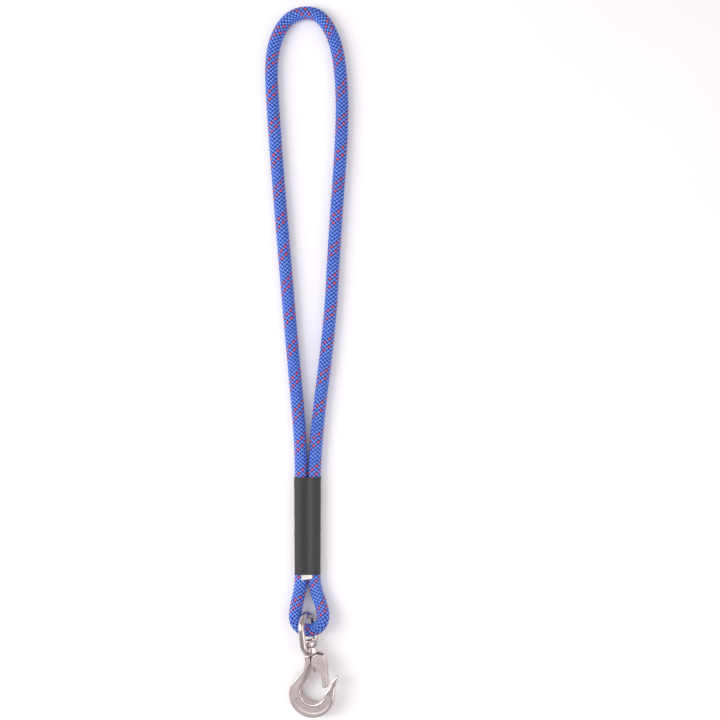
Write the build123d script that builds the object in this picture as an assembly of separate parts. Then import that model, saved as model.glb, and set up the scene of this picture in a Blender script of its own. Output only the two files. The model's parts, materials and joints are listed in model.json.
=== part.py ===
"""Short rope sling with a swivel safety hook, laid flat on a table.

One length of braided rope is bent into a ring. Its two legs lie side by side in a heat-shrink
sleeve, which leaves a long hand loop above and a small eye below. The small eye holds the ring
of a swivel hook with a sprung latch. +Y runs from the hook to the hand loop, +Z is up, and the
table is z = 0.
"""
import os
from math import pi, radians, tan

from build123d import *

# ---------------------------------------------------------------- driving dimensions, mm, degrees
ROPE_D = 14.0                 # over the braided cover
CORE_D = 10.4                 # bundle of core yarns
CORE_GAP = 0.1                # between core and cover
LEG_PITCH = 14.1              # between the two legs inside the sleeve
LEG_RIGHT_X = 0.0
LEG_LEFT_X = LEG_RIGHT_X - LEG_PITCH
SLEEVE_X = (LEG_RIGHT_X + LEG_LEFT_X) / 2

FILM = 0.6                    # shrunk wall of the sleeve
SLEEVE_IN_R = 7.35            # inner round of each side of the sleeve
SLEEVE_LEG_OFFSET = 6.85      # centre of that round from the sleeve's middle
SLEEVE_LOW, SLEEVE_HIGH = 24.0, 129.6
LEG_Z = SLEEVE_IN_R + FILM    # height of both legs in the sleeve
LOOP_Z = 7.1                  # height of the hand loop's centre line
JOIN_Y = 110.0                # where the two ends of the rope meet
SEAL = 0.8                    # melted skin on each end

TAPE_W, TAPE_T, TAPE_TAIL = 12.5, 0.25, 5.0
THREAD_D = 0.8
STITCH_PITCH, STITCHES = 8.0, 10

BAR_R = 3.5                   # round bar of the swivel ring
RING_HALF = 14.4              # bar centre from the shank axis
CROWN_Y = 69.8                # centre of the ring's round end, above the hook's bowl
BASE_Y, BASE_ROUND = 46.2, 9.0
BOSS_R, BOSS_LOW, BOSS_HIGH = 8.5, 42.0, 50.4

SHANK_R, SHANK_HOLE_R = 4.5, 4.8
WASHER_R, WASHER_LOW, WASHER_HIGH = 7.2, 41.0, 41.9
COLLAR_R, COLLAR_LOW, COLLAR_HIGH = 6.2, 50.5, 54.8
PEEN_TOP = 57.0
SHOULDER_R, SHOULDER_LOW, SHOULDER_HIGH = 6.8, 39.8, 40.9

HOOK_T = 12.0
TIP_SLOPE = 8.0               # each face of the tip falls away towards its end
TIP_START, TIP_TURN = (15.0, -5.0), 62.0
PANEL_DEPTH, PANEL_WIDTH, PANEL_R, PANEL_C = 0.6, 7.0, 18.4, (-1.4, -1.6)
PANEL_FROM, PANEL_TO = 205.0, 318.0
BOWL_C, BOWL_R = (-1.0, 0.0), 13.5
BACK_C, BACK_R = (-2.8, -4.0), 24.8
NECK_R, NECK_FLAT_X = 5.6, 0.6
RIVET_X, RIVET_Y, RIVET_R = 8.9, 34.0, 2.0
LUG_R, LUG_T = 5.5, 5.2

LATCH_W, SHEET = 13.0, 1.2
LATCH_HEAD_R = 7.3
RIVET_HEAD_R, RIVET_HEAD_T = 2.7, 1.1
HOLE_PLAY = 0.08
WIRE_R, COIL_R, COIL_GAP = 0.55, 3.2, 0.15
BRIDGE_X, BRIDGE_Y = 14.6, 19.0  # where the spring presses on the latch's web

# where the hook lies: the bowl's centre, then turned in plan, pitched up and rolled
HOOK_AT = (0.4, -100.1, 12.27)
HOOK_TURN, HOOK_PITCH, HOOK_ROLL = 6.0, 4.6, -12.0
RING_SPIN = 66.0              # the ring stands nearly on edge

# Route of the rope's centre line, from one end round the hand loop and the small eye to the other.
# The tight corners of the small eye follow the ring that it holds.
ROUTE = [
    (LEG_RIGHT_X, JOIN_Y + SEAL, LEG_Z),
    (0.0, 162.0, LEG_Z),
    (17.8, 300.0, LOOP_Z),
    (21.8, 385.0, LOOP_Z),
    (31.2, 512.0, LOOP_Z),
    (29.5, 575.5, LOOP_Z),
    (21.6, 612.5, LOOP_Z),
    (5.5, 637.0, LOOP_Z),
    (-21.8, 637.0, LOOP_Z),
    (-40.0, 616.0, LOOP_Z),
    (-47.4, 584.0, LOOP_Z),
    (-44.8, 532.0, LOOP_Z),
    (-38.8, 450.0, LOOP_Z),
    (-27.4, 314.0, LOOP_Z),
    (-20.4, 236.0, LOOP_Z),
    (LEG_LEFT_X, 166.0, LEG_Z),
    (LEG_LEFT_X, 12.5, LEG_Z),
    (-20.2, -12.5, 12.4),
    (-20.2, -25.0, 16.0),
    (-11.2, -33.7, 16.8),
    (1.4, -33.7, 16.8),
    (10.2, -25.0, 16.0),
    (10.2, -12.5, 12.4),
    (LEG_RIGHT_X, 12.5, LEG_Z),
    (LEG_RIGHT_X, JOIN_Y - SEAL, LEG_Z),
]


def corner_radii(points):
    """Each corner's arc takes 0.45 of its shorter run."""
    radii = []
    for before, here, after in zip(points, points[1:], points[2:]):
        run_in, run_out = Vector(here) - Vector(before), Vector(after) - Vector(here)
        turn = radians(run_in.get_angle(run_out))
        radii.append(0.45 * min(run_in.length, run_out.length) / tan(turn / 2))
    return radii


def rope_path():
    """The centre line as straight runs joined by tangent arcs."""
    return FilletPolyline(*ROUTE, radius=corner_radii(ROUTE))


def along_path(path, *radii):
    """Sweep a disc, or a ring between two radii, along the rope's path."""
    start = Plane(origin=path @ 0, z_dir=path % 0)
    section = start * Circle(radii[0])
    if len(radii) > 1:
        section -= start * Circle(radii[1])
    return sweep(section, path)


def rope_end_seals():
    """The melted skins on the two ends, back to back inside the sleeve."""
    lower = Pos(LEG_RIGHT_X, JOIN_Y - SEAL / 2, LEG_Z) * Rot(X=90) * Cylinder(ROPE_D / 2, SEAL - 0.02)
    upper = Pos(LEG_RIGHT_X, JOIN_Y + SEAL / 2, LEG_Z) * Rot(X=90) * Cylinder(ROPE_D / 2, SEAL - 0.02)
    return Compound(children=[lower, upper])


def leg_stitching():
    """A lockstitch thread that crosses both legs and lies along their outer sides."""
    reach = LEG_PITCH / 2 + ROPE_D / 2 - THREAD_D
    first = SLEEVE_LOW + (SLEEVE_HIGH - SLEEVE_LOW - STITCH_PITCH * (STITCHES - 1)) / 2
    corners = []
    for n in range(STITCHES):
        side = 1 if n % 2 else -1
        y = first + n * STITCH_PITCH
        corners += [(SLEEVE_X - side * reach, y, LEG_Z), (SLEEVE_X + side * reach, y, LEG_Z)]
    path = FilletPolyline(*corners, radius=THREAD_D)
    return sweep(Plane(origin=path @ 0, z_dir=path % 0) * Circle(THREAD_D / 2), path)


def stadium(radius):
    """Section of the sleeve: two half rounds, one over each leg."""
    return SlotCenterToCenter(2 * SLEEVE_LEG_OFFSET, 2 * radius)


def heat_shrink_sleeve():
    film = stadium(SLEEVE_IN_R + FILM) - stadium(SLEEVE_IN_R)
    length = SLEEVE_HIGH - SLEEVE_LOW
    return Pos(SLEEVE_X, SLEEVE_HIGH, LEG_Z) * Rot(X=90) * extrude(film, length)


def binding_tape():
    """A strip of cloth tape over both legs, with its tail out of the sleeve's lower end."""
    low = SLEEVE_LOW - TAPE_TAIL
    z = LEG_Z + ROPE_D / 2 + TAPE_T / 2 + 0.04
    middle = (SLEEVE_X + 0.6, (low + SLEEVE_HIGH) / 2, z)
    return Pos(*middle) * Box(TAPE_W, SLEEVE_HIGH - low, TAPE_T)


def shank_cylinder(radius, low, high):
    """A cylinder on the shank axis, which is local Y."""
    return Pos(0, (low + high) / 2, 0) * Rot(X=90) * Cylinder(radius, high - low)


def swivel_eye():
    """A ring of round bar that closes in a bored boss."""
    straight = RING_HALF - BASE_ROUND
    loop = Wire([
        Edge.make_line((-RING_HALF, BASE_Y + BASE_ROUND), (-RING_HALF, CROWN_Y)),
        Edge.make_three_point_arc((-RING_HALF, CROWN_Y), (0, CROWN_Y + RING_HALF), (RING_HALF, CROWN_Y)),
        Edge.make_line((RING_HALF, CROWN_Y), (RING_HALF, BASE_Y + BASE_ROUND)),
        JernArc((RING_HALF, BASE_Y + BASE_ROUND), (0, -1), BASE_ROUND, -90).edge(),
        Edge.make_line((straight, BASE_Y), (-straight, BASE_Y)),
        JernArc((-straight, BASE_Y), (-1, 0), BASE_ROUND, -90).edge(),
    ])
    bar = sweep(Plane(origin=loop @ 0, z_dir=loop % 0) * Circle(BAR_R), loop)
    boss = shank_cylinder(BOSS_R, BOSS_LOW, BOSS_HIGH)
    boss = chamfer(boss.edges().filter_by(GeomType.CIRCLE), 0.8)
    return bar + boss - shank_cylinder(SHANK_HOLE_R, BOSS_LOW - 1, BOSS_HIGH + 1)


def hook_outline():
    """Closed outline of the hook's flat: back, tip, bowl and the flatted side of the neck."""
    back_start = (-19.07, 14.7)
    back = CenterArc(BACK_C, BACK_R, 131, 219)
    bowl = CenterArc(BOWL_C, BOWL_R, -15, -195)
    neck_top = SHOULDER_LOW
    lines = [
        Spline((-NECK_R, neck_top), (-5.5, 33.5), (-7.7, 27.5), (-12.5, 21.3), back @ 0,
               tangents=[(0, -1), back % 0]),
        back,
        Spline(back @ 1, (23.7, 1.5), (28.7, 14.4), tangents=[back % 1, (0.4, 0.92)]),
        ThreePointArc((28.7, 14.4), (28.2, 15.4), (27.1, 15.2)),
        Spline((27.1, 15.2), (21.2, 9.2), (16.4, 2.3), bowl @ 0, tangents=[(-0.75, -0.66), bowl % 0]),
        bowl,
        Spline(bowl @ 1, (-10.0, 9.8), (-5.3, 14.6), (-1.6, 20.4), (NECK_FLAT_X, 28.0),
               tangents=[bowl % 1, (0, 1)]),
        Line((NECK_FLAT_X, 28.0), (NECK_FLAT_X, neck_top)),
        Line((NECK_FLAT_X, neck_top), (-NECK_R, neck_top)),
    ]
    return make_face(lines)


def hook_lug():
    """A thin ear on the neck for the latch's rivet, with a nose below it that stops the latch."""
    root = Pos(-1.7, 33.5) * Rectangle(4.6, 12.4)
    eye = Pos(RIVET_X, RIVET_Y) * Circle(LUG_R)
    ear = make_hull((root + eye).edges())
    nose = Pos(3.1, 24.5) * SlotOverall(9.5, 2.6, rotation=90)
    return extrude(ear + nose, LUG_T / 2, both=True)


def tip_cut():
    """What the grinder takes off the upper face of the tip."""
    block = Pos(20, 0, 10) * Box(40, 60, 20)
    return Pos(*TIP_START, HOOK_T / 2) * Rot(Z=TIP_TURN) * Rot(Y=TIP_SLOPE) * block


def hook_panel():
    """The shallow kidney-shaped recess that follows the bottom of the bowl, on the upper face."""
    kidney = SlotArc(CenterArc(PANEL_C, PANEL_R, PANEL_FROM, PANEL_TO - PANEL_FROM), PANEL_WIDTH)
    return Pos(0, 0, HOOK_T / 2 - PANEL_DEPTH) * extrude(kidney, PANEL_DEPTH + 1)


def hook_body():
    flat = extrude(hook_outline(), HOOK_T / 2, both=True)
    for cut in (tip_cut(), hook_panel()):
        flat -= cut
        flat -= mirror(cut, Plane.XY)
    shoulder = shank_cylinder(SHOULDER_R, SHOULDER_LOW, SHOULDER_HIGH)
    shank = shank_cylinder(SHANK_R, SHOULDER_HIGH, PEEN_TOP)
    shank = chamfer(shank.edges().filter_by(GeomType.CIRCLE).sort_by(Axis.Y)[-1], 0.8)
    body = flat + hook_lug() + shoulder + shank
    return body - Pos(RIVET_X, RIVET_Y, 0) * Cylinder(RIVET_R + HOLE_PLAY, 30)


def safety_latch():
    """A sheet channel: two side plates round the lug and a web that faces out."""
    arm = Polygon((3.4, 29.2), (6.9, 25.4), (11.0, 20.0), (11.4, 10.3), (11.2, 4.6), (16.6, 4.6),
                  (16.9, 26.0), (16.4, 34.5), (14.4, 38.7), (RIVET_X, RIVET_Y), align=None)
    outline = arm + Pos(RIVET_X, RIVET_Y) * Circle(LATCH_HEAD_R)
    channel = extrude(outline, LATCH_W / 2, both=True)
    channel -= Pos(-SHEET, 0, 0) * extrude(outline, LATCH_W / 2 - SHEET, both=True)
    channel -= Pos(-3 * SHEET, 0, 0) * extrude(outline, LATCH_W / 2 - SHEET, both=True)
    return channel - Pos(RIVET_X, RIVET_Y, 0) * Cylinder(RIVET_R + HOLE_PLAY, 30)


def latch_rivet():
    stem = Cylinder(RIVET_R, LATCH_W)
    head = Pos(0, 0, (LATCH_W + RIVET_HEAD_T) / 2) * Cylinder(RIVET_HEAD_R, RIVET_HEAD_T)
    head = chamfer(head.edges().sort_by(Axis.Z)[-1], 0.6)
    return Pos(RIVET_X, RIVET_Y, 0) * (stem + head + mirror(head, Plane.XY))


def wire_along(line):
    """Spring wire along a line."""
    return sweep(Plane(origin=line @ 0, z_dir=line % 0) * Circle(WIRE_R), line)


def latch_spring():
    """A double torsion spring: a coil each side of the lug, a bridge under the web, legs on the neck."""
    inner_z = LUG_T / 2 + COIL_GAP + WIRE_R
    outer_z = inner_z + 1.9 * WIRE_R
    coil_x = RIVET_X + COIL_R
    bridge = FilletPolyline((coil_x, RIVET_Y, outer_z), (BRIDGE_X, BRIDGE_Y, outer_z),
                            (BRIDGE_X, BRIDGE_Y, -outer_z), (coil_x, RIVET_Y, -outer_z), radius=1.5)
    spring = wire_along(bridge)
    for side in (1, -1):
        spring += wire_along(Line((RIVET_X - COIL_R, RIVET_Y, side * inner_z), (1.6, 28.6, side * inner_z)))
        spring += Pos(RIVET_X, RIVET_Y, side * inner_z) * Torus(COIL_R, WIRE_R)
        spring += Pos(RIVET_X, RIVET_Y, side * outer_z) * Torus(COIL_R, WIRE_R)
    return spring


def main():
    os.makedirs("parts", exist_ok=True)
    path = rope_path()
    radii = corner_radii(ROUTE)
    print("rope length", round(path.length, 1), "mm; corner radii", [round(r, 1) for r in radii])
    hook = Pos(*HOOK_AT) * Rot(Z=HOOK_TURN) * Rot(X=HOOK_PITCH)
    ring_place, hook_place = hook * Rot(Y=RING_SPIN), hook * Rot(Y=HOOK_ROLL)
    core_r = CORE_D / 2
    core = along_path(path, core_r)
    print("core volume", round(core.volume), "mm3; section times length", round(pi * core_r**2 * path.length))
    nodes = {
        "rope_cover": along_path(path, ROPE_D / 2, core_r + CORE_GAP),
        "rope_core": core,
        "rope_end_seals": rope_end_seals(),
        "leg_stitching": leg_stitching(),
        "heat_shrink_sleeve": heat_shrink_sleeve(),
        "binding_tape": binding_tape(),
        "swivel_eye": ring_place * swivel_eye(),
        "thrust_washer": hook_place * (shank_cylinder(WASHER_R, WASHER_LOW, WASHER_HIGH)
                                       - shank_cylinder(SHANK_R + 0.05, 30, 60)),
        "shank_collar": hook_place * (shank_cylinder(COLLAR_R, COLLAR_LOW, COLLAR_HIGH)
                                      - shank_cylinder(SHANK_R, 30, 60)),
        "hook_body": hook_place * hook_body(),
        "safety_latch": hook_place * safety_latch(),
        "latch_rivet": hook_place * latch_rivet(),
        "latch_spring": hook_place * latch_spring(),
    }
    for name, solid in nodes.items():
        export_step(solid, f"parts/{name}.step")


main()
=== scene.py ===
"""Rope sling with a swivel hook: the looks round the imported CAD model. Metres, +Z up."""

import json
import math

import bpy
import numpy as np
import openvdb
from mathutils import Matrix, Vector


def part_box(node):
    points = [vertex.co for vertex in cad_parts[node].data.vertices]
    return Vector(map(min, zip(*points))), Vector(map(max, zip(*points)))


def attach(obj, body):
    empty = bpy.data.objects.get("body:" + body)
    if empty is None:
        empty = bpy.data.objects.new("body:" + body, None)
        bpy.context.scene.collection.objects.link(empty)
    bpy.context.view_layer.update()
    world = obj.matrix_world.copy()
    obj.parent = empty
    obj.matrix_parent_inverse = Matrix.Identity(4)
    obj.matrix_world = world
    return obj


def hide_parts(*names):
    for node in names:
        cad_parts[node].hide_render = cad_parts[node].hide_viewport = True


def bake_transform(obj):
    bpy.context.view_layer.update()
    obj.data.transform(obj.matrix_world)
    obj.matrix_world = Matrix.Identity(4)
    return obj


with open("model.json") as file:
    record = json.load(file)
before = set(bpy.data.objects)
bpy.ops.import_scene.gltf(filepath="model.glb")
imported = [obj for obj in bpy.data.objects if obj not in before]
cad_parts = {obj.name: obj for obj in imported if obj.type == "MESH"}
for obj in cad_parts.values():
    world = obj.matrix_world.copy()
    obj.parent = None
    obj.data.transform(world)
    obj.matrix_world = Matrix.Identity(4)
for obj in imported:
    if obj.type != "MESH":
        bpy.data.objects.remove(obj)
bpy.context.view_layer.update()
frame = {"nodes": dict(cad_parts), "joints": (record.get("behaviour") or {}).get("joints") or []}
joints = {joint["name"]: joint for joint in frame["joints"]}

# ---------------------------------------------------------------- the rope's line and its braid
ROUTE = [
    (0.0, 0.1108, 0.00795),
    (0.0, 0.162, 0.00795),
    (0.0178, 0.300, 0.0071),
    (0.0218, 0.385, 0.0071),
    (0.0312, 0.512, 0.0071),
    (0.0295, 0.5755, 0.0071),
    (0.0216, 0.6125, 0.0071),
    (0.0055, 0.637, 0.0071),
    (-0.0218, 0.637, 0.0071),
    (-0.040, 0.616, 0.0071),
    (-0.0474, 0.584, 0.0071),
    (-0.0448, 0.532, 0.0071),
    (-0.0388, 0.450, 0.0071),
    (-0.0274, 0.314, 0.0071),
    (-0.0204, 0.236, 0.0071),
    (-0.0141, 0.166, 0.00795),
    (-0.0141, 0.096, 0.00795),
    (-0.0141, 0.038, 0.00795),
    (-0.0141, 0.0125, 0.00795),
    (-0.0202, -0.0125, 0.0124),
    (-0.0202, -0.025, 0.016),
    (-0.0112, -0.0337, 0.0168),
    (0.0014, -0.0337, 0.0168),
    (0.0102, -0.025, 0.016),
    (0.0102, -0.0125, 0.0124),
    (0.0, 0.0125, 0.00795),
    (0.0, 0.038, 0.00795),
    (0.0, 0.1092, 0.00795),
]
CARRIERS = 8                      # strands that turn each way
LAY = 0.0347                      # length of one strand's full turn
FIRST_TURN = 0.356                # how far round the strands are at the rope's first end
PERIOD = LAY / CARRIERS           # one over and one under
STRAND_W, STRAND_H = 0.0028, 0.0021
STRAND_NARROW, STRAND_SPREAD = 0.94, 0.10  # a strand's width half way, and how it spreads on top
BRAID_MID, BRAID_WAVE = 0.00545, 0.0007    # how far out a strand runs, and how far over and under
WAVE_HOLD = 1.6                   # how long a strand stays over or under before it crosses
RINGS, SIDES = 6, 8               # rings in each over and under, points round a strand
INSIDE_R = 0.0051                 # the dark tube of painted shade that shows between the strands
INSIDE_RINGS, INSIDE_SIDES = 900, 24
RED_STRANDS = (2, 4)              # two red strands, with a blue one between
GRAIN_STEP = 5.3                  # how far apart two strands' grain lies in the noise
MM = 1000                         # millimetres in a metre, the grain's unit along a strand

# ---------------------------------------------------------------- the sleeve and its tape
LEG_Z = 0.00795                   # height of both legs' middles in the sleeve
FILM_R, FILM_T = 0.00785, 0.0006  # outside of the film round a leg, and its wall
FILM_LEG = 0.00685                # from the sleeve's middle to the centre of that round
FILM_UP = 0.0018                  # how much further up the rope the film sits than in the CAD part
FILM_IN = 0.0003                  # how far the film is drawn in between the braid's crowns
FILM_AROUND, FILM_ALONG = 180, 230
TAPER = 0.035                     # how much narrower the film is at its lower end
VALLEY = 0.0021                   # how far the film dips between the legs
VALLEY_UNDER = 0.6                # the same on the underside, as a share
VALLEY_END, VALLEY_RUN = 0.35, 0.006       # how much less it dips at an end, and over what length
CROWN_H = 0.00032                 # how high the crowns stand under the film
WRINKLE_H = 0.00010
LIP_H, LIP_RUN = 0.00022, 0.0007  # the rim at each end, and how fast it fades
GRIP, GRIP_RUN = 0.85, 0.004      # how thin the film holds the rope, and how fast that begins
TAPE_W, TAPE_T = 0.0125, 0.0004
TAPE_SHOWN = 0.95                 # share of the tape's width that its creased tail has
TAPE_LEFT, TAPE_SKEW = 0.0010, 0.14        # how far left the tail sits, and how far askew
SKEW_FROM, SKEW_RUN = 0.004, 0.009         # where the skew begins inside the sleeve, and over what length
TAPE_HIDDEN = 0.012               # how far up the tape goes on under the film
TAPE_SAG, TAIL_SAG = 0.8, 0.35    # shares of the film's dip that the tape has, and its tail of that
TAPE_LIFT, MOUTH = 0.0006, 0.002  # how far the tail rises outside the sleeve's mouth, over what length
TAPE_ACROSS, TAPE_ALONG = 26, 20

# ---------------------------------------------------------------- the steel
FLAT_AXIS = joints["latch_hinge"]["axis"]  # square to the hook's and the latch's flat faces
RING_AXIS = joints["eye_swing"]["axis"]    # square to the ring
ALONG = Vector(joints["hook_swivel"]["axis"])       # from the hook's bowl towards its shank
ACROSS = ALONG.cross(Vector(FLAT_AXIS))             # from the hook's neck towards the latch's web
BOWL_ACROSS, BOWL_ALONG = 0.0014, 0.0016   # from the swivel's axis to the middle of the bowl's round
BOWL = Vector(joints["hook_swivel"]["pos_m"]) - BOWL_ACROSS * ACROSS - BOWL_ALONG * ALONG
VOXEL, FINE_VOXEL = 0.00033, 0.0002
FLAT_FROM, FLAT_FULL = 0.991, 0.997        # how squarely a face lies before it is satin, and wholly so
SHAPE_ROUNDS, FINISH_ROUNDS = 3, 6         # rounds of smoothing, of the shape and of the finish
RECESS_R, RECESS_REACH = 0.0184, 0.0045    # middle and half width of the cast recess
RECESS_FROM, RECESS_TO = 190, 333          # where it runs round the bowl, in degrees
RECESS_DEPTH = 0.00026
TIP, TIP_REACH = (0.0264, -0.0793), 0.014  # the hook's point from above, and how far it stays sharp
TIP_ROUND, TIP_FADE = 0.00045, 0.2         # its rounding, and how gently the softer shape takes over
MARGIN = 8                                 # voxels kept free round the hook

# ---------------------------------------------------------------- camera and light
VIEW_PLACE = (0.0501, 0.2588, 1.422)
VIEW_HALF, VIEW_FAR = 0.3924, 1.415        # half of what the view takes in, at that distance
LAMPS = (                                  # name, place, aim, size and power
    ("key", (-1.25, 0.25, 0.95), (0, 0.2, 0), (0.8, 1.5), 17),
    ("left_bank", (-1.05, 0.3, 2.0), (0, 0.2, 0), (1.0, 2.4), 11),
    ("right_bank", (1.15, 0.3, 1.9), (0, 0.2, 0), (0.9, 2.4), 10),
    ("low_right", (1.0, -0.45, 0.32), (0, -0.05, 0.02), (0.45, 1.3), 4),
)
SKY, SKY_STRENGTH = (1.0, 0.96, 0.98, 1), 0.52


# ================================================================ lines and meshes
def nurbs(name, points):
    """A smooth open curve with the points as its control points."""
    data = bpy.data.curves.new(name, "CURVE")
    data.dimensions = "3D"
    data.resolution_u = 24
    spline = data.splines.new("NURBS")
    spline.points.add(len(points) - 1)
    for slot, point in zip(spline.points, points):
        slot.co = (*point, 1.0)
    spline.order_u = 3
    spline.use_endpoint_u = True
    curve = bpy.data.objects.new(name, data)
    bpy.context.scene.collection.objects.link(curve)
    return curve


def read_line(curve):
    """The points of a curve's own line, in order."""
    bpy.context.view_layer.update()
    mesh = bpy.data.meshes.new_from_object(curve)
    points = np.array([v.co for v in mesh.vertices])
    bpy.data.meshes.remove(mesh)
    return points


class Line:
    """A centre line, with a side and an up direction at every place on it."""

    def __init__(self, points):
        step = np.linalg.norm(np.diff(points, axis=0), axis=1)
        self.points = points[np.r_[True, step > 1e-7]]
        self.at = np.r_[0, np.cumsum(np.linalg.norm(np.diff(self.points, axis=0), axis=1))]
        self.length = self.at[-1]

    def place(self, u):
        """The points at the distances u along the line."""
        return np.stack([np.interp(u, self.at, self.points[:, k]) for k in range(3)], axis=-1)

    def frame(self, u, reach=0.0015):
        """The directions ahead, to the side and up at the distances u along the line."""
        ahead = self.place(np.minimum(u + reach, self.length)) - self.place(np.maximum(u - reach, 0))
        ahead = unit(ahead)
        side = unit(np.cross(ahead, (0, 0, 1.0)))
        return ahead, side, np.cross(side, ahead)


def unit(vectors):
    """The vectors at length 1."""
    return vectors / np.linalg.norm(vectors, axis=-1, keepdims=True)


def new_piece(name, verts, faces):
    """A smooth-shaded mesh object."""
    mesh = bpy.data.meshes.new(name)
    mesh.from_pydata(np.reshape(verts, (-1, 3)).tolist(), [], faces)
    mesh.update()
    mesh.polygons.foreach_set("use_smooth", [True] * len(mesh.polygons))
    piece = bpy.data.objects.new(name, mesh)
    bpy.context.scene.collection.objects.link(piece)
    return piece


def tube_faces(rings, sides, first=0):
    """Quads of a tube whose points go round each ring in turn, with its two end caps."""
    ring, side = np.meshgrid(np.arange(rings - 1), np.arange(sides), indexing="ij")
    here, there = first + ring * sides + side, first + ring * sides + (side + 1) % sides
    quads = np.stack([here, there, there + sides, here + sides], axis=-1).reshape(-1, 4)
    last = first + (rings - 1) * sides
    return quads.tolist() + [list(range(first, first + sides))[::-1], list(range(last, last + sides))]


def store_vectors(piece, name, values):
    """Keeps a vector for each point, for the material to read."""
    attribute = piece.data.attributes.new(name, "FLOAT_VECTOR", "POINT")
    attribute.data.foreach_set("vector", np.asarray(values, np.float32).ravel())


def store_values(piece, name, values):
    """Keeps a number for each point, for the material to read."""
    attribute = piece.data.attributes.new(name, "FLOAT", "POINT")
    attribute.data.foreach_set("value", np.asarray(values, np.float32).ravel())


# ================================================================ materials
class Nodes:
    """A material's node tree, with short calls that add and link nodes."""

    def __init__(self, name):
        self.material = bpy.data.materials.new(name)
        self.material.use_nodes = True
        self.tree = self.material.node_tree
        self.shader = self.tree.nodes["Principled BSDF"]

    def add(self, kind, inputs=None, **settings):
        """A shader node, its inputs linked to sockets or set to values."""
        node = self.tree.nodes.new("ShaderNode" + kind)
        for key, value in settings.items():
            setattr(node, key, value)
        for key, value in (inputs or {}).items():
            if isinstance(value, bpy.types.NodeSocket):
                self.tree.links.new(value, node.inputs[key])
            else:
                node.inputs[key].default_value = value
        return node

    def set(self, **inputs):
        """The shader's own inputs, linked to sockets or set to values."""
        for key, value in inputs.items():
            socket = self.shader.inputs[key.replace("_", " ")]
            if isinstance(value, bpy.types.NodeSocket):
                self.tree.links.new(value, socket)
            else:
                socket.default_value = value

    def attribute(self, name):
        return self.add("Attribute", attribute_name=name).outputs["Vector"]

    def attribute_value(self, name):
        return self.add("Attribute", attribute_name=name).outputs["Fac"]

    def object_place(self):
        return self.add("TexCoord").outputs["Object"]

    def stretched(self, vector, scale):
        return self.add("Mapping", {"Vector": vector, "Scale": scale}).outputs[0]

    def noise(self, vector, scale, detail=3.0, roughness=0.5):
        inputs = {"Vector": vector, "Scale": scale, "Detail": detail, "Roughness": roughness}
        return self.add("TexNoise", inputs).outputs[0]

    def math(self, operation, a, b=0.0, c=0.0):
        return self.add("Math", {0: a, 1: b, 2: c}, operation=operation).outputs[0]

    def ramp(self, value, *stops):
        """A colour ramp through (place, colour) stops, where a bare number is a grey."""
        node = self.add("ValToRGB", {0: value})
        elements = node.color_ramp.elements
        while len(elements) < len(stops):
            elements.new(0.5)
        for element, (place, colour) in zip(elements, stops):
            element.position = place
            element.color = colour if isinstance(colour, tuple) else (colour,) * 3 + (1,)
        return node.outputs[0]

    def bump(self, height, distance, strength=1.0):
        inputs = {"Height": height, "Distance": distance, "Strength": strength}
        return self.add("Bump", inputs).outputs[0]


def strand_material(name, shade_colour, middle, bright):
    """Filament yarn: fine lines along the strand, with painted shade where it dives under its neighbours
    and down its sides, and a painted highlight along the top of each float.
    """
    nodes = Nodes(name)
    grain = nodes.attribute("grain")
    lines = nodes.noise(nodes.stretched(grain, (3.0, 0.35, 1.0)), 1.6, detail=4.0, roughness=0.65)
    patches = nodes.noise(nodes.stretched(grain, (0.2, 0.12, 1.0)), 1.0, detail=2.0)
    # painted shade and highlight: this value is lighter on a strand's top where it runs over, and darker
    # down its sides and where it dives under
    painted_shade_and_highlight = nodes.attribute_value("painted_shade_and_highlight")
    tone = nodes.math("MULTIPLY_ADD", lines, 0.35, painted_shade_and_highlight)
    tone = nodes.math("MULTIPLY_ADD", patches, 0.25, tone)
    # the ramp runs from the painted shade colour, through the yarn's own colour, to the painted highlight
    # colour
    colour = nodes.ramp(nodes.math("SUBTRACT", tone, 0.3), (0.2, shade_colour), (0.66, middle), (1.0, bright))
    rough = nodes.ramp(lines, (0.3, 0.50), (0.7, 0.32))
    nodes.set(Base_Color=colour, Roughness=rough, Specular_IOR_Level=0.9, Sheen_Weight=0.12,
              Sheen_Roughness=0.4, Normal=nodes.bump(lines, 0.00012, 0.6))
    return nodes.material


def plain_material(name, colour, roughness, metallic=0.0):
    """Fine grain on an even colour."""
    nodes = Nodes(name)
    grain = nodes.noise(nodes.object_place(), 900.0, detail=4.0)
    dark = tuple(c * 0.8 for c in colour[:3]) + (1,)
    nodes.set(Base_Color=nodes.ramp(grain, (0.3, dark), (0.7, colour)), Roughness=roughness,
              Metallic=metallic, Normal=nodes.bump(grain, 0.00005, 0.4))
    return nodes.material


def steel_material(name, dull, bright, satin, polished):
    """Stainless steel: flat faces tumbled to a fine speckled satin, rounded ones rubbed bright."""
    nodes = Nodes(name)
    place = nodes.object_place()
    speckle = nodes.noise(place, 1400.0, detail=4.0, roughness=0.6)
    cloud = nodes.noise(place, 90.0, detail=3.0)
    flat = nodes.attribute_value("flat")
    tone = nodes.math("ADD", nodes.math("MULTIPLY", speckle, 0.5), nodes.math("MULTIPLY", cloud, 0.5))
    rough = nodes.math("MULTIPLY_ADD", flat, satin - polished, polished)
    rough = nodes.math("MULTIPLY_ADD", nodes.math("SUBTRACT", 0.5, tone), 0.35, rough)
    nodes.set(Base_Color=nodes.ramp(tone, (0.35, dull), (0.65, bright)), Metallic=1.0, Roughness=rough,
              Normal=nodes.bump(nodes.math("MULTIPLY", speckle, flat), 0.00004, 0.5))
    return nodes.material


# ================================================================ the rope
def gripped(y):
    """The rope's thickness where the film holds it, as a share of its free thickness."""
    low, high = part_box("heat_shrink_sleeve")
    inside = np.minimum(y - low.y, high.y - y + 2 * FILM_UP) - FILM_UP
    t = np.clip(inside / GRIP_RUN + 0.5, 0, 1)
    return 1 - (1 - GRIP) * t * t * (3 - 2 * t)


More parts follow.
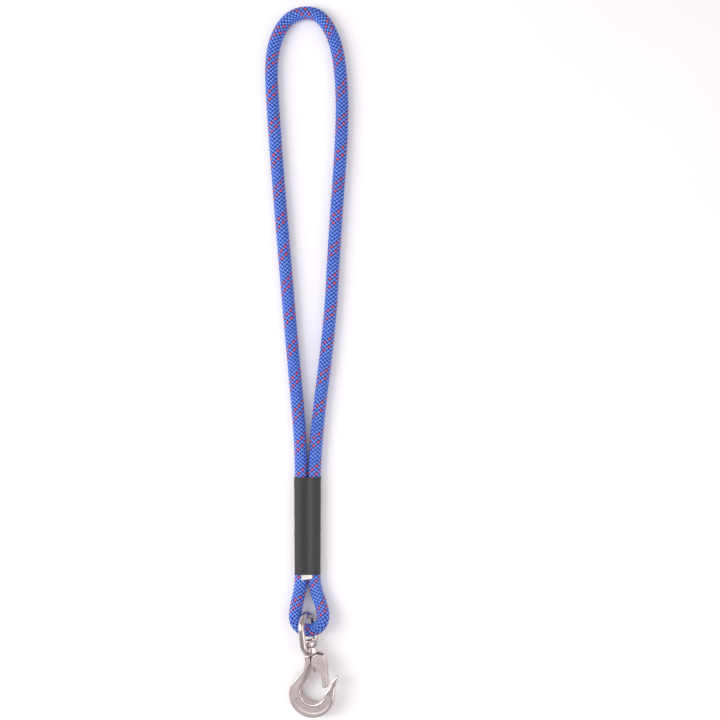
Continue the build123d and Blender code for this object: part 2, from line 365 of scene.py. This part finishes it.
def braid_strands(name, line, hand, members, material):
    """Some of the strands that turn one way, each going over one and under one of the others."""
    count = int(line.length / PERIOD * RINGS)
    u = np.linspace(0, line.length, count)
    side, up = line.frame(u)[1:]
    middle = line.place(u)
    thin = gripped(middle[:, 1])[:, None, None]
    turn = 2 * np.pi * np.arange(SIDES) / SIDES - np.pi / 2
    turned = u / LAY + FIRST_TURN
    wave = hand * np.tanh(WAVE_HOLD * np.cos(2 * np.pi * CARRIERS * turned)) / math.tanh(WAVE_HOLD)
    verts, faces, grain, painted_shade_and_highlight = [], [], [], []
    for member in members:
        angle = hand * 2 * np.pi * turned + 2 * np.pi * member / CARRIERS
        out = np.cos(angle)[:, None] * side + np.sin(angle)[:, None] * up
        run = middle + (BRAID_MID + BRAID_WAVE * wave)[:, None] * out
        along = unit(np.gradient(run, axis=0))
        across = unit(np.cross(along, out))
        lift = np.cross(across, along)
        half_w = STRAND_W / 2 * (STRAND_NARROW + STRAND_SPREAD * wave)
        ring = (run[:, None] + (half_w[:, None] * np.cos(turn))[..., None] * across[:, None]
                + (STRAND_H / 2 * np.sin(turn))[None, :, None] * lift[:, None])
        faces += tube_faces(count, SIDES, first=len(verts) * count * SIDES)
        verts.append(middle[:, None] + thin * (ring - middle[:, None]))
        v = np.broadcast_to(turn, (count, SIDES))
        grain.append(np.stack([v, np.broadcast_to(u[:, None] * MM, v.shape),
                               np.full(v.shape, GRAIN_STEP * member + hand)], axis=-1))
        # painted light: lighter on the strand's top and where it runs over, darker down its sides and
        # where it dives under
        painted_shade_and_highlight.append(np.sqrt(0.5 + 0.5 * wave)[:, None] * np.clip(np.sin(turn), 0, 1) ** 2)
    piece = new_piece(name, np.concatenate(verts), faces)
    store_vectors(piece, "grain", np.concatenate(grain))
    store_values(piece, "painted_shade_and_highlight", np.concatenate(painted_shade_and_highlight))
    piece.data.materials.append(material)
    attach(piece, "sling")
    return piece


def rope_shade_tube(line, material):
    """The closed dark tube that the strands lie on: painted shade showing in the gaps between them."""
    u = np.linspace(0, line.length, INSIDE_RINGS)
    side, up = line.frame(u)[1:]
    turn = 2 * np.pi * np.arange(INSIDE_SIDES) / INSIDE_SIDES
    ring = (line.place(u)[:, None] + INSIDE_R * np.cos(turn)[None, :, None] * side[:, None]
            + INSIDE_R * np.sin(turn)[None, :, None] * up[:, None])
    piece = new_piece("rope_shade_tube", ring, tube_faces(INSIDE_RINGS, INSIDE_SIDES))
    piece.data.materials.append(material)
    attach(piece, "sling")
    return piece


def rope():
    """The whole rope on its line: 16 strands, two of them red, round a dark tube of painted shade."""
    curve = nurbs("route", ROUTE)
    line = Line(read_line(curve))
    bpy.data.objects.remove(curve)
    # each yarn: its painted shade colour, its own colour and its painted highlight colour
    blue = strand_material("blue_yarn", (0.004, 0.020, 0.24, 1), (0.02, 0.10, 0.60, 1),
                           (0.19, 0.42, 1.0, 1))
    red = strand_material("red_yarn", (0.07, 0.002, 0.02, 1), (0.42, 0.012, 0.05, 1),
                          (0.85, 0.12, 0.24, 1))
    # painted shade: a dark tube under the strands stands for the shade in the gaps between them
    dark = plain_material("rope_shadow", (0.004, 0.012, 0.12, 1), 0.9)
    inside = rope_shade_tube(line, dark)
    beside_red = [n for n in range(CARRIERS) if n not in RED_STRANDS]
    strands = [
        braid_strands("strands_left_a", line, -1, beside_red[:3], blue),
        braid_strands("strands_left_b", line, -1, beside_red[3:], blue),
        braid_strands("strands_red", line, -1, RED_STRANDS, red),
        braid_strands("strands_right_a", line, 1, range(0, 4), blue),
        braid_strands("strands_right_b", line, 1, range(4, 8), blue),
    ]
    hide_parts("rope_cover", "rope_core")


# ================================================================ the sleeve and its tape
def film_section(count):
    """The film's outside, flat over and under both legs and round beside them, with its directions."""
    half, quarter = FILM_LEG, math.pi * FILM_R / 2
    total = 4 * (half + quarter)
    at = (np.arange(count) / count * total + half) % total
    x, z, nx, nz = (np.zeros(count) for _ in range(4))
    for n, s in enumerate(at):
        if s < 2 * half:
            x[n], z[n], nx[n], nz[n] = s - half, FILM_R, 0, 1
        elif s < 2 * half + 2 * quarter:
            turn = math.pi / 2 - (s - 2 * half) / FILM_R
            nx[n], nz[n] = math.cos(turn), math.sin(turn)
            x[n], z[n] = half + FILM_R * nx[n], FILM_R * nz[n]
        elif s < 4 * half + 2 * quarter:
            x[n], z[n], nx[n], nz[n] = half - (s - 2 * half - 2 * quarter), -FILM_R, 0, -1
        else:
            turn = -math.pi / 2 - (s - 4 * half - 2 * quarter) / FILM_R
            nx[n], nz[n] = math.cos(turn), math.sin(turn)
            x[n], z[n] = -half + FILM_R * nx[n], FILM_R * nz[n]
    return x, z, nx, nz


def crowns_under(y, angle):
    """How high the braid's crowns stand under the film at a place on a leg, from 0 to 1."""
    step = 2 * np.pi * y / PERIOD
    right = (1 + np.cos(step)) * (1 + np.cos(CARRIERS * angle - step))
    left = (1 - np.cos(step)) * (1 + np.cos(CARRIERS * angle + step))
    return (right + left) / 4


def sleeve(material):
    """Heat-shrink film drawn down on both legs: a valley between them, the braid's crowns along them."""
    low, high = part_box("heat_shrink_sleeve")
    around, along = FILM_AROUND, FILM_ALONG
    x, z, nx, nz = film_section(around)
    y = np.linspace(low.y + FILM_UP, high.y + FILM_UP, along)[:, None]
    middle_x = (low.x + high.x) / 2
    t = (y - y[0]) / (y[-1] - y[0])
    end = np.minimum(y - y[0], y[-1] - y)
    valley = VALLEY * (0.5 + 0.5 * np.cos(np.pi * np.clip(x / FILM_LEG, -1, 1)))[None]
    valley = valley * np.where(nz < 0, VALLEY_UNDER, 1.0) * (1 - VALLEY_END * np.exp(-end / VALLEY_RUN))
    angle = np.arctan2(z, np.abs(x) - FILM_LEG)[None]
    on_leg = np.clip((np.abs(x) - FILM_LEG * 0.35) / 0.003, 0, 1)[None]
    relief = CROWN_H * crowns_under(y, angle) * on_leg
    wrinkle = WRINKLE_H * np.sin(y * 410 + x[None] * 2700) * np.sin(y * 173 + 2.0)
    lip = LIP_H * np.exp(-end / LIP_RUN)
    out = relief + wrinkle + lip - FILM_IN
    draw = 1 - TAPER * (1 - t)
    verts = []
    for depth in (0.0, FILM_T):
        px = middle_x + x[None] * draw + nx[None] * (out - depth)
        pz = LEG_Z + z[None] + nz[None] * (out - depth - valley)
        verts.append(np.stack([px, np.broadcast_to(y, px.shape), pz], axis=-1))
    ring, side = np.meshgrid(np.arange(along - 1), np.arange(around), indexing="ij")
    here, there = ring * around + side, ring * around + (side + 1) % around
    outer = np.stack([here, here + around, there + around, there], axis=-1).reshape(-1, 4)
    inner = outer[:, ::-1] + along * around
    n = np.arange(around)
    rims = []
    for row, flip in ((0, 1), ((along - 1) * around, -1)):
        a, b = row + n, row + (n + 1) % around
        rims.append(np.stack([a, b, b + along * around, a + along * around], axis=-1)[:, ::flip])
    faces = np.concatenate([outer, inner, *rims])
    piece = new_piece("sleeve_film", np.concatenate(verts), faces.tolist())
    piece.data.materials.append(material)
    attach(piece, "sling")
    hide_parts("heat_shrink_sleeve")


def tape(material):
    """The tail of cloth tape that comes out of the sleeve's lower end, a little askew."""
    low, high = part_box("binding_tape")
    middle_x = (low.x + high.x) / 2
    sleeve_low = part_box("heat_shrink_sleeve")[0].y + FILM_UP
    v, w = np.meshgrid(np.linspace(low.y + FILM_UP, sleeve_low + TAPE_HIDDEN, TAPE_ALONG),
                       np.linspace(-0.5, 0.5, TAPE_ACROSS), indexing="ij")
    x = middle_x - TAPE_LEFT + w * TAPE_W * TAPE_SHOWN
    y = v + TAPE_SKEW * w * TAPE_W * np.clip((sleeve_low + SKEW_FROM - v) / SKEW_RUN, 0, 1)
    dip = VALLEY * TAPE_SAG * (0.5 + 0.5 * np.cos(np.pi * np.clip((x - middle_x) / FILM_LEG, -1, 1)))
    hidden = np.clip((v - sleeve_low + MOUTH / 2) / MOUTH, 0, 1)
    sag = dip * (TAIL_SAG + (1 - TAIL_SAG) * hidden)
    z = LEG_Z + FILM_R - FILM_T - TAPE_LIFT - sag + TAPE_LIFT * (1 - hidden)
    top = np.stack([x, y, z + TAPE_T / 2], axis=-1).reshape(-1, 3)
    under = top - (0, 0, TAPE_T)
    n = np.arange(TAPE_ACROSS * TAPE_ALONG).reshape(TAPE_ALONG, TAPE_ACROSS)
    quads = np.stack([n[:-1, :-1], n[:-1, 1:], n[1:, 1:], n[1:, :-1]], axis=-1).reshape(-1, 4)
    rim = np.concatenate([n[0], n[1:, -1], n[-1, -2::-1], n[-2:0:-1, 0]])
    nxt = np.roll(rim, -1)
    sides = np.stack([rim + n.size, nxt + n.size, nxt, rim], axis=-1)
    faces = np.concatenate([quads, quads[:, ::-1] + n.size, sides])
    piece = new_piece("tape_tail", np.concatenate([top, under]), faces.tolist())
    piece.data.materials.append(material)
    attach(piece, "sling")
    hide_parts("binding_tape")


# ================================================================ the steel
def mesh_arrays(mesh):
    """A mesh's points and triangles."""
    mesh.calc_loop_triangles()
    points = np.empty(len(mesh.vertices) * 3, np.float32)
    mesh.vertices.foreach_get("co", points)
    triangles = np.empty(len(mesh.loop_triangles) * 3, np.int32)
    mesh.loop_triangles.foreach_get("vertices", triangles)
    return points.reshape(-1, 3), triangles.reshape(-1, 3).astype(np.uint32)


def level_set(points, triangles, quads, reach, voxel):
    """Signed distances to a closed surface, right up to that reach from it."""
    return openvdb.FloatGrid.createLevelSetFromPolygons(
        points, triangles=triangles, quads=quads, halfWidth=reach / voxel + 3,
        transform=openvdb.createLinearTransform(voxelSize=voxel))


def opened(points, triangles, round_edges, fill_corners, voxel):
    """A surface closed over its tight corners, then taken in by the rounding; the last step is left."""
    no_triangles, no_quads = np.empty((0, 3), np.uint32), np.empty((0, 4), np.uint32)
    grown = level_set(points, triangles, no_quads, fill_corners, voxel)
    points, quads = grown.convertToQuads(isovalue=fill_corners)
    inset = fill_corners + round_edges
    shrunk = level_set(points, no_triangles, quads, inset, voxel)
    points, quads = shrunk.convertToQuads(isovalue=-inset)
    return level_set(points, no_triangles, quads, round_edges, voxel)


def with_sharp_tip(soft, sharp, round_edges, voxel):
    """The softly rounded hook, with the sharper one taken near its tip."""
    low = np.floor(np.array(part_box("hook_body")[0]) / voxel).astype(int) - MARGIN
    high = np.ceil(np.array(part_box("hook_body")[1]) / voxel).astype(int) + MARGIN
    corner = tuple(low.tolist())
    soft_far, sharp_far = (np.empty(high - low, np.float32) for _ in range(2))
    soft.copyToArray(soft_far, ijk=corner)
    sharp.copyToArray(sharp_far, ijk=corner)
    x = (np.arange(low[0], high[0]) * voxel - TIP[0])[:, None, None]
    y = (np.arange(low[1], high[1]) * voxel - TIP[1])[None, :, None]
    away = np.clip(np.hypot(x, y) - TIP_REACH, 0, 1) * TIP_FADE
    both = np.minimum(soft_far - round_edges, sharp_far - TIP_ROUND + away).astype(np.float32)
    grid = openvdb.FloatGrid(3 * voxel)
    grid.copyFromArray(both, ijk=corner)
    grid.transform = soft.transform
    return grid


def flatness(piece, axis):
    """1 on faces square to the axis, 0 on the rounded, ground and side ones."""
    normals = np.empty(len(piece.data.vertices) * 3, np.float32)
    piece.data.vertex_normals.foreach_get("vector", normals)
    facing = np.abs(normals.reshape(-1, 3) @ np.array(axis))
    return np.clip((facing - FLAT_FROM) / (FLAT_FULL - FLAT_FROM), 0, 1)


def smoothed(values, quads, rounds):
    """One row of values a point, each moved halfway to its neighbours' mean a few times over."""
    ends = np.concatenate([quads[:, (k, (k + 1) % 4)] for k in range(4)])
    count = np.bincount(ends[:, 0], minlength=len(values))[:, None]
    for _ in range(rounds):
        total = np.stack([np.bincount(ends[:, 0], column[ends[:, 1]], len(values))
                          for column in values.T], axis=-1)
        values = (values + total / count) / 2
    return values


def steel_piece(name, node, body, axis, material, points, quads, satin=0.0):
    """The piece that stands for a CAD node, satin on its flat faces and where satin says so."""
    piece = new_piece(name, smoothed(points, quads, SHAPE_ROUNDS), quads.tolist())
    flat = np.maximum(flatness(piece, axis), satin)
    store_values(piece, "flat", smoothed(flat[:, None], quads, FINISH_ROUNDS))
    piece.data.materials.append(material)
    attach(piece, body)
    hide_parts(node)


def rounded(name, node, body, axis, material, round_edges, fill_corners, voxel=VOXEL):
    """The CAD node with its edges rounded and its inside corners filled."""
    points, triangles = mesh_arrays(frame["nodes"][node].data)
    grid = opened(points, triangles, round_edges, fill_corners, voxel)
    points, quads = grid.convertToQuads(isovalue=round_edges)
    steel_piece(name, node, body, axis, material, points, quads)


def hook(material, round_edges=0.0013, fill_corners=0.0011):
    """The forged hook: rounded as a forging is, sharper at its tip, with a shallow cast recess."""
    points, triangles = mesh_arrays(frame["nodes"]["hook_body"].data)
    soft = opened(points, triangles, round_edges, fill_corners, VOXEL)
    sharp = opened(points, triangles, TIP_ROUND, fill_corners, VOXEL)
    points, quads = with_sharp_tip(soft, sharp, round_edges, VOXEL).convertToQuads(isovalue=0.0)
    points = shallower(points)
    steel_piece("hook", "hook_body", "hook", FLAT_AXIS, material, points, quads,
                satin=in_recess(points))


def shallower(points):
    """The hook's points, with the floor of its recess raised until it is only lightly sunk."""
    height = (points - np.array(BOWL)) @ np.array(FLAT_AXIS)
    inside = in_recess(points)
    least = abs(height[inside]).max() - RECESS_DEPTH
    raised = np.sign(height) * np.maximum(abs(height), least) - height
    return points + (inside * raised)[:, None] * np.array(FLAT_AXIS)


def in_recess(points):
    """1 in and close round the cast recess of the hook's bowl, 0 elsewhere."""
    across = (points - np.array(BOWL)) @ np.array(ACROSS)
    along = (points - np.array(BOWL)) @ np.array(ALONG)
    radius, turn = np.hypot(across, along), np.degrees(np.arctan2(along, across)) % 360
    return (abs(radius - RECESS_R) < RECESS_REACH) & (turn > RECESS_FROM) & (turn < RECESS_TO)


def spring(material):
    """The latch's spring, whose bridge goes with the latch and whose legs stay on the hook: here one copy
    of the CAD wire in the given material, not split between them.
    """
    node = frame["nodes"]["latch_spring"]
    mesh = node.data.copy()
    mesh.transform(node.matrix_world)
    mesh.materials.clear()
    mesh.materials.append(material)
    piece = bpy.data.objects.new("spring_wire", mesh)
    bpy.context.scene.collection.objects.link(piece)
    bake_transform(piece)
    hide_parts("latch_spring")


# ================================================================ camera, floor and light
def camera():
    """Looks straight down on the sling."""
    data = bpy.data.cameras.new("camera")
    data.angle = 2 * math.atan(VIEW_HALF / VIEW_FAR)
    data.clip_start, data.clip_end = 0.01, 20
    view = bpy.data.objects.new("camera", data)
    view.location = VIEW_PLACE
    bpy.context.scene.collection.objects.link(view)
    bpy.context.scene.camera = view


def floor():
    """The plain pale surface that the sling lies on."""
    bpy.ops.mesh.primitive_plane_add(size=8.0, location=(0, 0.25, 0))
    plane = bpy.context.object
    plane.name = "floor"
    nodes = Nodes("pale_floor")
    cloud = nodes.noise(nodes.object_place(), 3.0)
    nodes.set(Base_Color=nodes.ramp(cloud, (0.3, (0.93, 0.91, 0.92, 1)), (0.7, (0.95, 0.935, 0.94, 1))),
              Roughness=0.7, Specular_IOR_Level=0.2)
    plane.data.materials.append(nodes.material)


def area_light(name, place, target, size, power):
    """A soft rectangular lamp that points at its target."""
    data = bpy.data.lights.new(name, "AREA")
    data.shape, data.size, data.size_y, data.energy = "RECTANGLE", size[0], size[1], power
    lamp = bpy.data.objects.new(name, data)
    lamp.location = place
    lamp.rotation_euler = (Vector(target) - Vector(place)).to_track_quat("-Z", "Y").to_euler()
    bpy.context.scene.collection.objects.link(lamp)


def studio():
    """An even sky, and the lamps."""
    world = bpy.data.worlds.new("studio")
    bpy.context.scene.world = world
    world.use_nodes = True
    background = world.node_tree.nodes["Background"]
    background.inputs["Color"].default_value = SKY
    background.inputs["Strength"].default_value = SKY_STRENGTH
    for lamp in LAMPS:
        area_light(*lamp)
    bpy.context.scene.view_settings.view_transform = "Standard"


def fittings():
    """Every piece but the rope: hook, ring, latch and spring, the small CAD parts, sleeve and tape."""
    satin = steel_material("satin_steel", (0.50, 0.44, 0.43, 1), (0.72, 0.64, 0.63, 1), 0.46, 0.21)
    ring = steel_material("ring_steel", (0.44, 0.39, 0.38, 1), (0.64, 0.57, 0.56, 1), 0.40, 0.23)
    sheet = steel_material("sheet_steel", (0.54, 0.48, 0.47, 1), (0.82, 0.73, 0.72, 1), 0.42, 0.18)
    rivet = steel_material("rivet_steel", (0.52, 0.46, 0.45, 1), (0.76, 0.68, 0.67, 1), 0.40, 0.40)
    film = plain_material("shrink_film", (0.030, 0.028, 0.032, 1), 0.6)
    cloth = plain_material("cloth_tape", (0.82, 0.79, 0.72, 1), 0.9)
    hook(satin)
    rounded("swivel_ring", "swivel_eye", "ring", RING_AXIS, ring, 0.0010, 0.0016)
    rounded("latch_plate", "safety_latch", "latch", FLAT_AXIS, sheet, 0.00045, 0.0003,
            FINE_VOXEL)
    for node, material in (("thrust_washer", rivet), ("shank_collar", rivet), ("latch_rivet", rivet),
                           ("leg_stitching", cloth), ("rope_end_seals", film)):
        frame["nodes"][node].data.materials.clear()
        frame["nodes"][node].data.materials.append(material)
    spring(rivet)
    sleeve(film)
    tape(cloth)


camera()
rope()
fittings()
floor()
studio()
